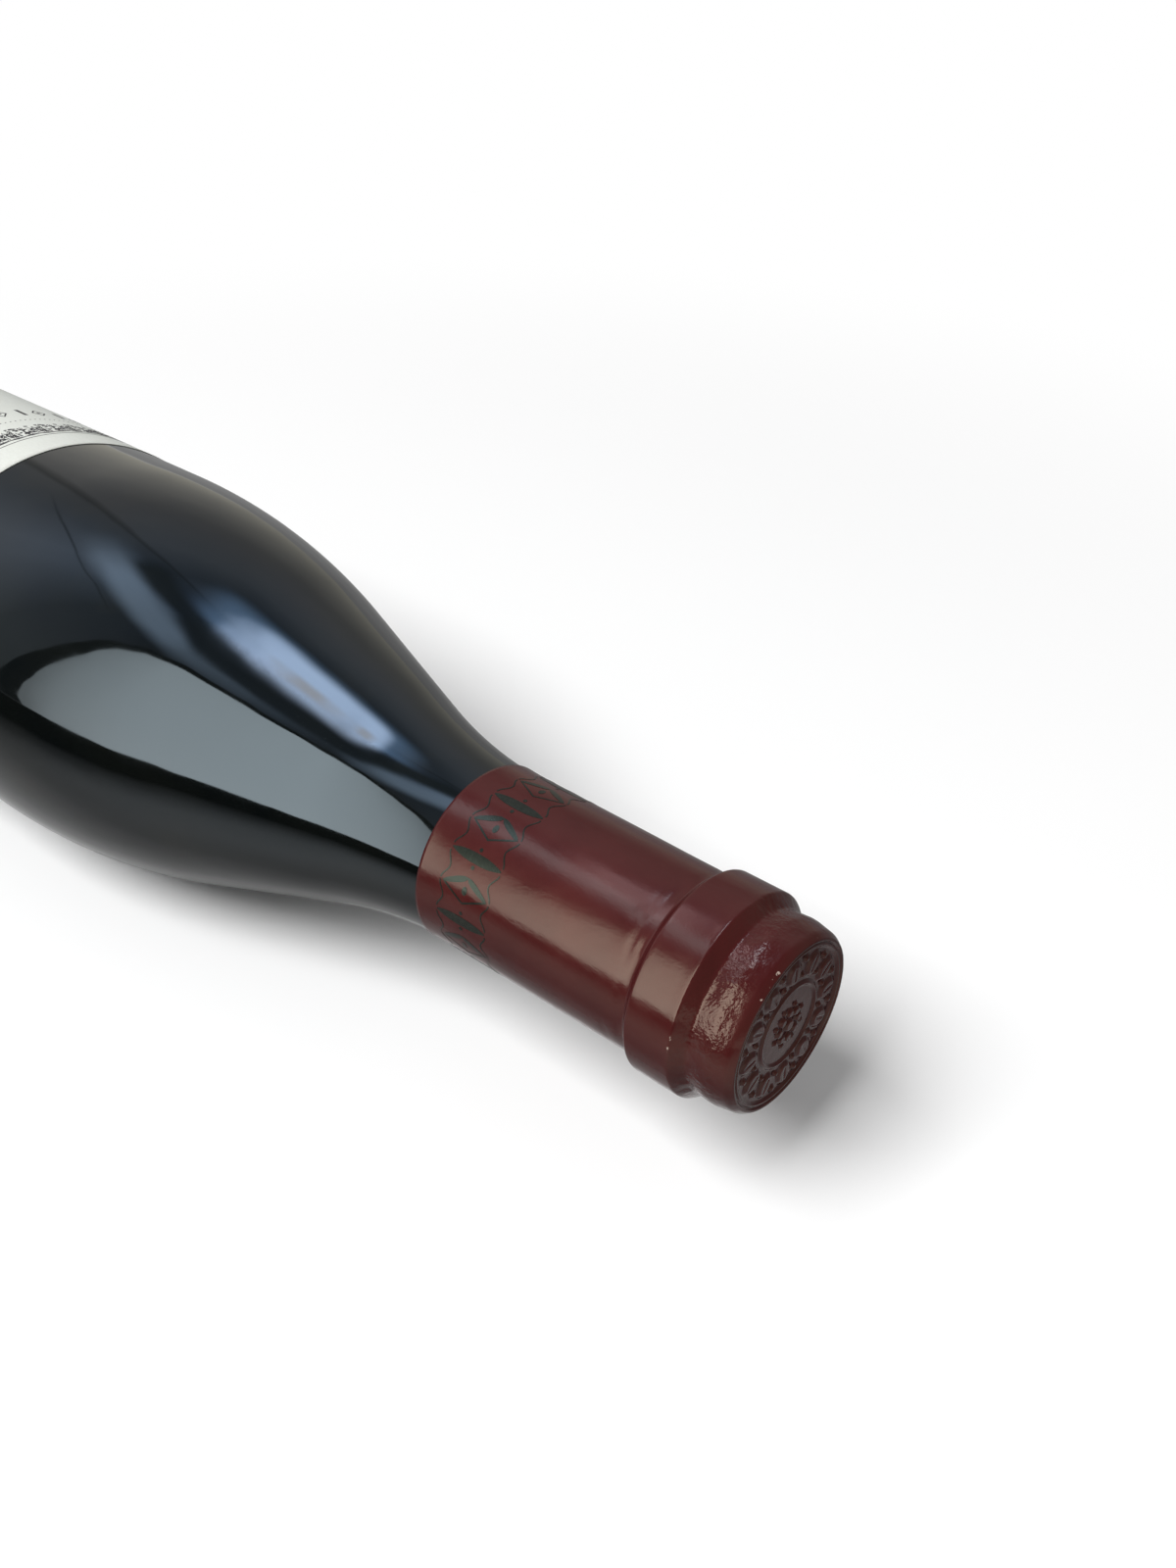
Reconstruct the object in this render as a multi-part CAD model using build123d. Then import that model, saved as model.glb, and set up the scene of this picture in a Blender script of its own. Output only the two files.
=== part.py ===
from build123d import *
import os
from math import acos, sin, tan

# Burgundy wine bottle, full and sealed, lying on its side: axis along X, neck towards +X,
# origin under the middle of its length on the surface it lies on, +Z up. Millimetres.
# A station is the distance from the top of the capsule, measured towards the base.

total_length = 298.0
body_radius = 39.0
neck_radius = 15.2            # glass, just behind the ring
flat_depth = 0.25             # sagitta of the narrow strip that the body lies on

# Shoulder: the neck's line and the body's line meet one sloping line, each through a large arc.
shoulder_start = 70.8         # station where the neck's line meets the slope
shoulder_start_radius = 15.7
shoulder_end = 138.2          # station where the slope meets the body's line
hollow_fillet = 90.0          # the concave sweep out of the neck
shoulder_fillet = 150.0       # the convex sweep into the body

# Mouth of the glass under the capsule.
lip_radius = 15.2
lip_end = 4.2
groove_radius = 14.8
groove_start, groove_end = 5.8, 7.4
ring_radius = 16.8
ring_start, ring_end = 9.7, 17.3
ring_foot = 18.4

# Base.
heel_fillet = 9.0
bearing_radius = 27.0         # inner edge of the ring that the bottle stands on
bearing_fillet = 2.5
punt_depth = 24.0
punt_top_radius = 9.0
punt_fillet = 12.0

# Foil capsule.
foil_thickness = 0.3
capsule_length = 61.5
bead_height = 0.5             # raised rim around the capsule's end
bead_inner, bead_outer = 12.9, 14.3

# Paper label, centred on the upper side.
label_thickness = 0.15
label_start = 179.4           # station of the label's upper edge
label_height = 94.0
label_arc = 164.0             # degrees around the body

glass_top = bead_height + foil_thickness
axis_height = body_radius - flat_depth


def at(station, radius):
    # A point of the half section: X from the station, Y the distance from the axis.
    return Vector(total_length / 2 - station, radius)


def rounded_outline(corners):
    # Straight lines through (point, fillet) corners, each inner corner rounded by its own arc.
    start = corners[0][0]
    edges = []
    for (before, _), (corner, fillet_radius), (after, _) in zip(corners, corners[1:], corners[2:]):
        back = (before - corner).normalized()
        ahead = (after - corner).normalized()
        half_angle = acos(back.dot(ahead)) / 2
        reach = fillet_radius / tan(half_angle)
        rise = fillet_radius / sin(half_angle) - fillet_radius
        arc_start = corner + back * reach
        arc_end = corner + ahead * reach
        arc_middle = corner + (back + ahead).normalized() * rise
        edges.append(Line(start, arc_start))
        edges.append(ThreePointArc(arc_start, arc_middle, arc_end))
        start = arc_end
    edges.append(Line(start, corners[-1][0]))
    return edges


def glass_half_section():
    outline = rounded_outline([
        (at(glass_top, 0), 0),
        (at(glass_top, lip_radius), 1.3),
        (at(lip_end, lip_radius), 2.0),
        (at(groove_start, groove_radius), 2.0),
        (at(groove_end, groove_radius), 2.0),
        (at(ring_start, ring_radius), 0.8),
        (at(ring_end, ring_radius), 0.7),
        (at(ring_foot, neck_radius), 0.9),
        (at(shoulder_start, shoulder_start_radius), hollow_fillet),
        (at(shoulder_end, body_radius), shoulder_fillet),
        (at(total_length, body_radius), heel_fillet),
        (at(total_length, bearing_radius), bearing_fillet),
        (at(total_length - punt_depth, punt_top_radius), punt_fillet),
        (at(total_length - punt_depth, 0), 0),
    ])
    axis_line = Line(at(total_length - punt_depth, 0), at(glass_top, 0))
    return make_face(outline + [axis_line])


def glass_bottle():
    bottle = revolve(glass_half_section(), Axis.X)
    below_flat = Pos(0, 0, -axis_height) * Box(
        total_length, 2 * body_radius, body_radius,
        align=(Align.CENTER, Align.CENTER, Align.MAX))
    return bottle - below_flat


def foil_capsule():
    # The glass outline grown by the foil's thickness, less the glass, down to the skirt's edge.
    grown = offset(glass_half_section(), amount=foil_thickness, kind=Kind.ARC)
    skirt_edge = at(capsule_length, 0)
    top_edge = at(0, 0)
    window = Pos(skirt_edge.X, 0) * Rectangle(
        top_edge.X - skirt_edge.X, body_radius, align=(Align.MIN, Align.MIN))
    skin = (grown & window) - glass_half_section()
    bead_corners = [
        at(glass_top - foil_thickness / 2, bead_inner - 0.2),
        at(0, bead_inner + 0.4),
        at(0, bead_outer - 0.2),
        at(bead_height, bead_outer + 0.6),
        at(glass_top - foil_thickness / 2, bead_outer + 0.2),
    ]
    bead = make_face(Polyline(*bead_corners, close=True))
    return revolve(skin + bead, Axis.X)


def paper_label():
    strip = Pos(at(label_start + label_height, body_radius)) * Rectangle(
        label_height, label_thickness, align=(Align.MIN, Align.MIN))
    wrap = revolve(strip, Axis.X, revolution_arc=label_arc)
    return Rot(90 - label_arc / 2, 0, 0) * wrap


def write(name, shape):
    export_step(Pos(0, 0, axis_height) * shape.solid(), f"parts/{name}.step")


os.makedirs("parts", exist_ok=True)
write("glass_bottle", glass_bottle())
write("foil_capsule", foil_capsule())
write("paper_label", paper_label())
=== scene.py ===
import math

import bmesh
import bpy
import numpy as np
from mathutils import Matrix, Vector


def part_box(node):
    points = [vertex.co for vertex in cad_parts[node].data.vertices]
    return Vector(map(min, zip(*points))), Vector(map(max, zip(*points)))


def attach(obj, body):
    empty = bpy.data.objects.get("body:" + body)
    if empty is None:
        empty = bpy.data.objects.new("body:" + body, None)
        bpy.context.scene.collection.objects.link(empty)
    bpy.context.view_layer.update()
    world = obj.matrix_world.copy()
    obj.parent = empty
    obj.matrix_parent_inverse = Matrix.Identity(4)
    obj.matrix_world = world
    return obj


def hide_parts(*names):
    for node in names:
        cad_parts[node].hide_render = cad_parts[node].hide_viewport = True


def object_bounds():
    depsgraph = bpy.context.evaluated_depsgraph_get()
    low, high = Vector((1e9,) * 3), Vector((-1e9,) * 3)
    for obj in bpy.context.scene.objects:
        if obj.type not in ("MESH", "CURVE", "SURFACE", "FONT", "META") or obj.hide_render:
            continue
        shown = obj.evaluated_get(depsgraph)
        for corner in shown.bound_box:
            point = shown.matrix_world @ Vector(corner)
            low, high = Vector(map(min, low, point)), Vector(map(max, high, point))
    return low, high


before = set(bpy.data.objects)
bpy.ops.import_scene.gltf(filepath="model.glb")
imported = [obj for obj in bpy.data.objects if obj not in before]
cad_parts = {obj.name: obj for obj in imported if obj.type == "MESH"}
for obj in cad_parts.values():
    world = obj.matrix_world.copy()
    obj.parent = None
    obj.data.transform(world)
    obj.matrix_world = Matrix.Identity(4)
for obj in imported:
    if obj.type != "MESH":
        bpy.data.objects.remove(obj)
cadLow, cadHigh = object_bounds()
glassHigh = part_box("glass_bottle")[1]
mm = 0.001
mouthEnd = cadHigh.x  # the bottle's axis runs along X, its mouth at this end
print("frame loaded")

# Distances along the bottle are stations: millimetres from the capsule's end towards the base.
bottle = {
    "length": (cadHigh.x - cadLow.x) / mm,
    "bodyRadius": 39.0,
    "neckCorner": (70.8, 15.7, 90.0),   # station, radius, fillet of the hollow sweep out of the neck
    "shoulderCorner": (138.2, 39.0, 150.0),
    "slack": 0.015,                     # the body is turned this much under size, mm
    "heelFillet": 9.0,
    "bearingRadius": 27.0,
    "bearingFillet": 2.5,
    "puntDepth": 24.0,
    "puntRadius": 9.0,
    "puntFillet": 12.0,
    "outlineStep": 1.5,
    "segments": 224,
    "waviness": 0.22,                   # how far the glass sinks from the true round, mm
    "waveStart": -0.035,                # X where the unevenness begins, growing towards the neck
    "knurlCount": 84,
    "knurlHeight": 0.35,
}
axisHeight = glassHigh.z / mm - bottle["bodyRadius"]


def feed(tree, node, inputs):
    for key, value in inputs.items():
        if isinstance(value, bpy.types.NodeSocket):
            tree.links.new(value, node.inputs[key])
        else:
            node.inputs[key].default_value = value


def addNode(tree, kind, inputs=None, **settings):
    made = tree.nodes.new(kind)
    for name, value in settings.items():
        setattr(made, name, value)
    feed(tree, made, inputs or {})
    return made


def result(tree, kind, inputs=None, **settings):
    # A node's first output, which is all that most of them are added for.
    return addNode(tree, kind, inputs, **settings).outputs[0]


def calc(tree, operation, *values):
    return result(tree, "ShaderNodeMath", dict(enumerate(values)), operation=operation)


def product(tree, first, *others):
    for value in others:
        first = calc(tree, "MULTIPLY", first, value)
    return first


def vectorCalc(tree, operation, *values):
    return result(tree, "ShaderNodeVectorMath", dict(enumerate(values)), operation=operation)


def lengthened(tree, vector, factor):
    return result(tree, "ShaderNodeVectorMath", {0: vector, "Scale": factor}, operation="SCALE")


def lengthOf(tree, vector):
    return addNode(tree, "ShaderNodeVectorMath", {0: vector}, operation="LENGTH").outputs["Value"]


def combined(tree, x=0.0, y=0.0, z=0.0):
    return result(tree, "ShaderNodeCombineXYZ", {0: x, 1: y, 2: z})


def partsOf(tree, vector):
    return addNode(tree, "ShaderNodeSeparateXYZ", {0: vector}).outputs


def remap(tree, value, start, stop, low=0.0, high=1.0, smooth=False):
    # Carries start to low and stop to high, and holds past both.
    inputs = {"Value": value, "From Min": start, "From Max": stop, "To Min": low, "To Max": high}
    way = "SMOOTHSTEP" if smooth else "LINEAR"
    return result(tree, "ShaderNodeMapRange", inputs, interpolation_type=way)


def ramp(tree, factor, stops):
    made = addNode(tree, "ShaderNodeValToRGB", {0: factor})
    elements = made.color_ramp.elements
    while len(elements) < len(stops):
        elements.new(0.5)
    for element, (place, colour) in zip(elements, stops):
        element.position = place
        element.color = (*colour, 1) if isinstance(colour, tuple) else (colour, colour, colour, 1)
    return made.outputs[0]


def mixed(tree, share, first, second, kind="MIX"):
    inputs = {0: share, 6: first, 7: second}
    return addNode(tree, "ShaderNodeMix", inputs, data_type="RGBA", blend_type=kind).outputs[2]


def newMaterial(name, baseColour, roughness, **sockets):
    material = bpy.data.materials.new(name)
    material.use_nodes = True
    tree = material.node_tree
    shader = tree.nodes["Principled BSDF"]
    feed(tree, shader, {"Base Color": (*baseColour, 1), "Roughness": roughness, **sockets})
    return material, tree, shader


def objectSpot(tree, scale=(1, 1, 1), location=(0, 0, 0)):
    place = addNode(tree, "ShaderNodeTexCoord").outputs["Object"]
    return result(tree, "ShaderNodeMapping", {"Vector": place, "Scale": scale, "Location": location})


def noiseAt(tree, vector, scale, detail=2.0, roughness=0.5):
    inputs = {"Vector": vector, "Scale": scale, "Detail": detail, "Roughness": roughness}
    return result(tree, "ShaderNodeTexNoise", inputs)


def bump(tree, height, distance, strength=1.0, normal=None):
    inputs = {"Height": height, "Distance": distance, "Strength": strength}
    if normal is not None:
        inputs["Normal"] = normal
    return result(tree, "ShaderNodeBump", inputs)


def meshObject(name, vertices, faces, material=None):
    mesh = bpy.data.meshes.new(name)
    mesh.from_pydata(vertices, [], faces)
    mesh.update()
    made = bpy.data.objects.new(name, mesh)
    bpy.context.scene.collection.objects.link(made)
    if material:
        mesh.materials.append(material)
    return made


def newTree(name, sockets):
    tree = bpy.data.node_groups.new(name, "GeometryNodeTree")
    tree.interface.new_socket("Geometry", in_out="INPUT", socket_type="NodeSocketGeometry")
    for label, kind in sockets:
        tree.interface.new_socket(label, in_out="INPUT", socket_type="NodeSocket" + kind)
    tree.interface.new_socket("Geometry", in_out="OUTPUT", socket_type="NodeSocketGeometry")
    return tree, tree.nodes.new("NodeGroupInput").outputs


def endTree(tree, material, geometry):
    # Every tree ends alike: copies made real, then the finish.
    real = result(tree, "GeometryNodeRealizeInstances", {"Geometry": geometry})
    painted = result(tree, "GeometryNodeSetMaterial", {"Geometry": real, "Material": material})
    tree.links.new(painted, tree.nodes.new("NodeGroupOutput").inputs[0])
    return tree


def inputPosition(tree):
    return result(tree, "GeometryNodeInputPosition")


def objectMesh(tree, socket):
    return addNode(tree, "GeometryNodeObjectInfo", {"Object": socket}).outputs["Geometry"]


def applyTree(made, tree, values):
    # Sets the inputs by identifier, turns the result into a plain mesh, and drops the modifier.
    modifier = made.modifiers.new(tree.name, "NODES")
    modifier.node_group = tree
    for item in tree.interface.items_tree:
        if item.item_type == "SOCKET" and item.in_out == "INPUT" and item.name in values:
            modifier[item.identifier] = values[item.name]
    made.update_tag()
    bpy.context.view_layer.update()
    evaluated = made.evaluated_get(bpy.context.evaluated_depsgraph_get())
    mesh = bpy.data.meshes.new_from_object(evaluated)
    made.modifiers.clear()
    made.data = mesh
    mesh.name = made.name
    return made


def faceOutwards(made):
    work = bmesh.new()
    work.from_mesh(made.data)
    bmesh.ops.recalc_face_normals(work, faces=work.faces)
    if work.calc_volume(signed=True) < 0:
        bmesh.ops.reverse_faces(work, faces=work.faces)
    work.to_mesh(made.data)
    work.free()
    return made


def joined(name, objects):
    with bpy.context.temp_override(active_object=objects[0], selected_editable_objects=objects):
        bpy.ops.object.join()
    objects[0].name = name
    objects[0].data.name = name
    return objects[0]


def roundedOutline(corners, step, arcPoints=7):
    # (station, radius, fillet) corners to points: lines between them, an arc at each inner corner.
    spots = [Vector(corner[:2]) for corner in corners]
    path = [spots[0]]

    def walk(target, longest):
        start = path[-1]
        count = max(1, math.ceil((target - start).length / longest))
        path.extend(start.lerp(target, (i + 1) / count) for i in range(count))

    for before, corner, after, (_, _, fillet) in zip(spots, spots[1:], spots[2:], corners[1:]):
        back, ahead = (before - corner).normalized(), (after - corner).normalized()
        half = math.acos(max(-1, min(1, back.dot(ahead)))) / 2
        if fillet == 0:
            walk(corner, step)
            continue
        reach = fillet / math.tan(half)
        centre = corner + (back + ahead).normalized() * fillet / math.sin(half)
        first, last = corner + back * reach, corner + ahead * reach
        walk(first, step)
        turn = (first - centre).angle_signed(last - centre)
        count = max(arcPoints, math.ceil(abs(turn) * fillet / step))
        for i in range(1, count + 1):
            arm = (first - centre).copy()
            arm.rotate(Matrix.Rotation(-turn * i / count, 2))
            path.append(centre + arm)
    walk(spots[-1], step)
    return path


def latheTree():
    # Turns a row of points (X along the axis, Y the radius) round the bottle's axis.
    tree, given = newTree("turnedOutline", [
        ("Segments", "Int"), ("Axis Height", "Float"), ("Waviness", "Float"), ("Wave Start", "Float"),
        ("Material", "Material")])
    outline, segments = given["Geometry"], given["Segments"]
    stations = addNode(tree, "GeometryNodeAttributeDomainSize", {0: outline}).outputs["Point Count"]
    around = result(tree, "FunctionNodeIntegerMath", {0: segments, 1: 1}, operation="ADD")
    grid = result(tree, "GeometryNodeMeshGrid", {"Vertices X": stations, "Vertices Y": around})
    index = result(tree, "GeometryNodeInputIndex")
    station = result(tree, "FunctionNodeIntegerMath", {0: index, 1: around}, operation="DIVIDE_FLOOR")
    turn = result(tree, "FunctionNodeIntegerMath", {0: index, 1: around}, operation="MODULO")
    spot = result(tree, "GeometryNodeSampleIndex", {
        "Geometry": outline, "Value": inputPosition(tree), "Index": station},
        data_type="FLOAT_VECTOR", domain="POINT")
    along, trueRadius, _ = partsOf(tree, spot)
    angle = product(tree, calc(tree, "DIVIDE", turn, segments), 2 * math.pi)
    cosine, sine = calc(tree, "COSINE", angle), calc(tree, "SINE", angle)
    # slow waves round the bottle and quicker ones along it, fading out at the axis
    ring = vectorCalc(tree, "MULTIPLY", combined(tree, along, cosine, sine), (22.0, 0.75, 0.75))
    wander = noiseAt(tree, ring, 1.0, 1.5)
    fade = remap(tree, along, given["Wave Start"], calc(tree, "ADD", given["Wave Start"], 0.03))
    offAxis = calc(tree, "MINIMUM", product(tree, trueRadius, 60.0), 1.0)
    inward = product(tree, wander, given["Waviness"], fade, offAxis)
    radius = calc(tree, "SUBTRACT", trueRadius, inward)
    height = calc(tree, "ADD", product(tree, radius, sine), given["Axis Height"])
    place = combined(tree, along, product(tree, radius, cosine), calc(tree, "MAXIMUM", height, 0.0))
    shaped = result(tree, "GeometryNodeSetPosition", {"Geometry": grid, "Position": place})
    closed = result(tree, "GeometryNodeMergeByDistance", {"Geometry": shaped, "Distance": 2e-6})
    smooth = result(tree, "GeometryNodeSetShadeSmooth", {"Geometry": closed})
    return endTree(tree, given["Material"], smooth)


def turned(name, path, segments, material, waviness=0.0, waveStart=0.0):
    points = [(mouthEnd - spot.x * mm, spot.y * mm, 0) for spot in path]
    made = meshObject(name, points, [])
    applyTree(made, turnedOutline, {
        "Segments": segments, "Axis Height": axisHeight * mm, "Waviness": waviness * mm,
        "Wave Start": waveStart, "Material": material})
    return faceOutwards(made)


def wrapTree():
    # Repeats a flat motif in a row and wraps it round the bottle's axis onto a surface.
    # The motif lies with X along the axis (its station, negative), Y round the bottle, Z outwards.
    tree, given = newTree("wrappedPrint", [
        ("Motif", "Object"), ("Surface", "Object"), ("Count", "Int"), ("Pitch", "Float"),
        ("First", "Float"), ("Radius", "Float"), ("Axis Height", "Float"), ("Mouth End", "Float"),
        ("Material", "Material")])
    row = result(tree, "GeometryNodeMeshLine", {
        "Count": given["Count"], "Start Location": combined(tree, y=given["First"]),
        "Offset": combined(tree, y=given["Pitch"])})
    copies = result(tree, "GeometryNodeInstanceOnPoints", {
        "Points": row, "Instance": objectMesh(tree, given["Motif"])})
    real = result(tree, "GeometryNodeRealizeInstances", {"Geometry": copies})
    along, across, lift = partsOf(tree, inputPosition(tree))
    angle = calc(tree, "DIVIDE", across, given["Radius"])
    outward = combined(tree, 0.0, calc(tree, "SINE", angle), calc(tree, "COSINE", angle))
    middle = combined(tree, calc(tree, "ADD", given["Mouth End"], along), 0.0, given["Axis Height"])
    reach = 0.06  # further than the bottle's radius, so each ray starts outside the glass
    start = vectorCalc(tree, "ADD", middle, lengthened(tree, outward, reach))
    cast = addNode(tree, "GeometryNodeRaycast", {
        "Target Geometry": objectMesh(tree, given["Surface"]), "Source Position": start,
        "Ray Direction": lengthened(tree, outward, -1.0), "Ray Length": reach})
    landed = vectorCalc(tree, "ADD", cast.outputs["Hit Position"], lengthened(tree, outward, lift))
    moved = result(tree, "GeometryNodeSetPosition", {"Geometry": real, "Position": landed})
    return endTree(tree, given["Material"], moved)


def ringTree():
    # Sets copies of a piece in a ring round the bottle's axis.
    tree, given = newTree("ringOfCopies", [
        ("Piece", "Object"), ("Count", "Int"), ("Axis Height", "Float"), ("X", "Float"),
        ("Material", "Material")])
    centre = combined(tree, given["X"], 0.0, given["Axis Height"])
    row = result(tree, "GeometryNodeMeshLine", {
        "Count": given["Count"], "Start Location": centre, "Offset": (0, 0, 0)})
    index = result(tree, "GeometryNodeInputIndex")
    turn = product(tree, calc(tree, "DIVIDE", index, given["Count"]), 2 * math.pi)
    copies = result(tree, "GeometryNodeInstanceOnPoints", {
        "Points": row, "Instance": objectMesh(tree, given["Piece"]), "Rotation": combined(tree, turn)})
    return endTree(tree, given["Material"], copies)


turnedOutline = latheTree()
wrappedPrint = wrapTree()
ringOfCopies = ringTree()
print("node trees built")


def glossByAngle(tree, shader, full, grazing, start, stop):
    # Gloss eases off where the surface turns edge-on, as a slightly dulled surface does.
    level = shader.inputs["Specular IOR Level"]
    level.default_value = full
    edge = addNode(tree, "ShaderNodeLayerWeight", {"Blend": 0.5}).outputs["Facing"]
    tree.links.new(remap(tree, edge, start, stop, full, grazing, smooth=True), level)


def darkGlass():
    # Near-black green glass with dark wine behind it: almost all of its look is gloss.
    material, tree, shader = newMaterial("darkGreenGlass", (0.004, 0.006, 0.006), 0.04, IOR=1.52,
                                         **{"Specular Tint": (0.80, 0.91, 1.0, 1)})
    glossByAngle(tree, shader, 0.5, 0.16, 0.32, 0.54)
    cloud = noiseAt(tree, objectSpot(tree), 45.0, 3.0)
    smear = noiseAt(tree, objectSpot(tree, scale=(1, 3, 3)), 60.0, 4.0, 0.6)
    ripple = noiseAt(tree, objectSpot(tree, scale=(0.5, 1, 1)), 90.0, 2.0)
    feed(tree, shader, {
        "Base Color": ramp(tree, cloud, [(0.3, (0.0022, 0.003, 0.0032)), (0.6, (0.004, 0.0048, 0.0042)),
                                         (0.8, (0.009, 0.0088, 0.006))]),
        "Roughness": remap(tree, smear, 0.35, 0.75, 0.035, 0.09),
        "Normal": bump(tree, ripple, 0.00035, 0.25)})
    return material


def nearStation(tree, station, reach):
    # 1 at this distance from the capsule's end, fading to 0 at reach on either side, mm.
    along = partsOf(tree, objectSpot(tree))[0]
    away = calc(tree, "ABSOLUTE", calc(tree, "SUBTRACT", along, mouthEnd - station * mm))
    return remap(tree, away, 0.0, reach * mm, 1.0, 0.0, smooth=True)


def beyondRadius(tree, radius):
    # 1 outside this distance from the bottle's axis, 0 inside, mm.
    flat = objectSpot(tree, scale=(0, 1, 1), location=(0, 0, -axisHeight * mm))
    return remap(tree, lengthOf(tree, flat), (radius - 0.2) * mm, (radius + 0.2) * mm)


def lacqueredFoil():
    # Oxblood lacquer on soft foil: satin, crumpled a little round the lip, worn pale at the rims.
    material, tree, shader = newMaterial(
        "oxbloodFoil", (0.05, 0.0075, 0.0075), 0.2, IOR=1.5, **{"Specular Tint": (1.0, 0.82, 0.64, 1)})
    glossByAngle(tree, shader, 0.42, 0.09, 0.25, 0.5)
    spot = objectSpot(tree)
    cloud = noiseAt(tree, spot, 70.0, 4.0, 0.6)
    colour = ramp(tree, cloud, [(0.3, (0.046, 0.0062, 0.0064)), (0.55, (0.055, 0.008, 0.008)),
                                (0.8, (0.068, 0.0115, 0.0105))])
    fleck = noiseAt(tree, spot, 1100.0, 3.0, 0.7)
    patches = noiseAt(tree, objectSpot(tree, location=(0.3, 0.1, 0.2)), 130.0, 2.0)
    outside = beyondRadius(tree, 13.2)
    edges = calc(tree, "MAXIMUM", nearStation(tree, 0.4, 1.0), nearStation(tree, 9.6, 0.8))
    bare = remap(tree, product(tree, edges, outside, fleck, patches), 0.375, 0.41)
    smear = noiseAt(tree, spot, 160.0, 4.0, 0.65)
    drawn = noiseAt(tree, objectSpot(tree, scale=(0.35, 1, 1)), 420.0, 3.0, 0.6)
    crumple = product(tree, noiseAt(tree, spot, 480.0, 3.0, 0.65), nearStation(tree, 5.5, 6.0), outside)
    grain = noiseAt(tree, spot, 3200.0, 2.0, 0.6)
    dented = bump(tree, crumple, 0.0006, 0.5, bump(tree, drawn, 0.00015, 0.3))
    feed(tree, shader, {
        "Base Color": mixed(tree, bare, colour, (0.42, 0.33, 0.28, 1)),
        "Roughness": remap(tree, smear, 0.3, 0.75, 0.13, 0.22),
        "Normal": bump(tree, grain, 0.00003, 0.3, dented)})
    return material


def labelPaper():
    material, tree, shader = newMaterial("uncoatedPaper", (0.64, 0.655, 0.61), 0.82, IOR=1.45)
    fibre = noiseAt(tree, objectSpot(tree, scale=(1, 2.2, 2.2)), 900.0, 5.0, 0.7)
    feed(tree, shader, {
        "Base Color": ramp(tree, fibre, [(0.3, (0.62, 0.635, 0.59)), (0.7, (0.675, 0.69, 0.645))]),
        "Normal": bump(tree, fibre, 0.00006, 0.5)})
    return material


def printInk(name, colour, roughness, gleam):
    material, tree, shader = newMaterial(name, colour, roughness, IOR=1.5, **{"Specular Tint": (*gleam, 1)})
    glossByAngle(tree, shader, 0.42, 0.09, 0.25, 0.5)
    worn = noiseAt(tree, objectSpot(tree), 1500.0, 3.0, 0.6)
    lighter = tuple(channel * 1.7 + 0.002 for channel in colour)
    feed(tree, shader, {"Base Color": ramp(tree, worn, [(0.35, colour), (0.8, lighter)]),
                        "Normal": bump(tree, worn, 0.00001, 0.3)})
    return material


glassFinish = darkGlass()
foilFinish = lacqueredFoil()
paperFinish = labelPaper()
foilInk = printInk("blackGreenFoilInk", (0.007, 0.0078, 0.006), 0.2, (0.82, 0.93, 0.72))
labelInk = printInk("darkGreyInk", (0.035, 0.033, 0.035), 0.6, (1, 1, 1))
print("finishes built")


mouth = [  # the glass under the foil: lip, groove and ring, as (station, radius, fillet)
    (0.8, 14.35, 0.8), (4.3, 15.1, 4.0), (5.8, 14.8, 2.0), (7.4, 14.8, 2.0),
    (9.7, 16.8, 0.8), (17.3, 16.8, 0.7), (18.4, 15.2, 0.9),
]


def makeGlass():
    base = bottle["length"] - bottle["knurlHeight"]
    dome = bottle["length"] - bottle["puntDepth"]
    shoulderStation, shoulderRadius, shoulderFillet = bottle["shoulderCorner"]
    corners = [(mouth[0][0], 0, 0), *mouth, bottle["neckCorner"],
               (shoulderStation, shoulderRadius - bottle["slack"], shoulderFillet),
               (base, bottle["bodyRadius"] - bottle["slack"], bottle["heelFillet"]),
               (base, bottle["bearingRadius"], bottle["bearingFillet"]),
               (dome, bottle["puntRadius"], bottle["puntFillet"]), (dome, 0, 0)]
    path = roundedOutline(corners, bottle["outlineStep"])
    return turned("glassBottle", path, bottle["segments"], glassFinish, bottle["waviness"],
                  bottle["waveStart"])


glass = makeGlass()
print("glass turned")


foil = {
    "length": 61.5,
    "thickness": 0.3,
    "segments": 288,
    "faceStation": 0.5,       # the end's flat face lies this far below its rim
    "faceRadius": 12.55,
    "runOn": (90, 22.35),     # on the shoulder past the foil's edge, where the outline is cut
    "deepestCrease": 0.24,
    "petalCount": 12,
    "petalRing": 10.0,        # radius of the ring of stamped petals
    "reliefHeight": 0.42,
}


def bumpShape(distance, edge=0.22):
    # 1 inside a shape, 0 outside, with a rounded shoulder as wide as edge.
    share = min(1.0, max(0.0, 0.5 - distance / edge))
    return share * share * (3 - 2 * share)


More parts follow.
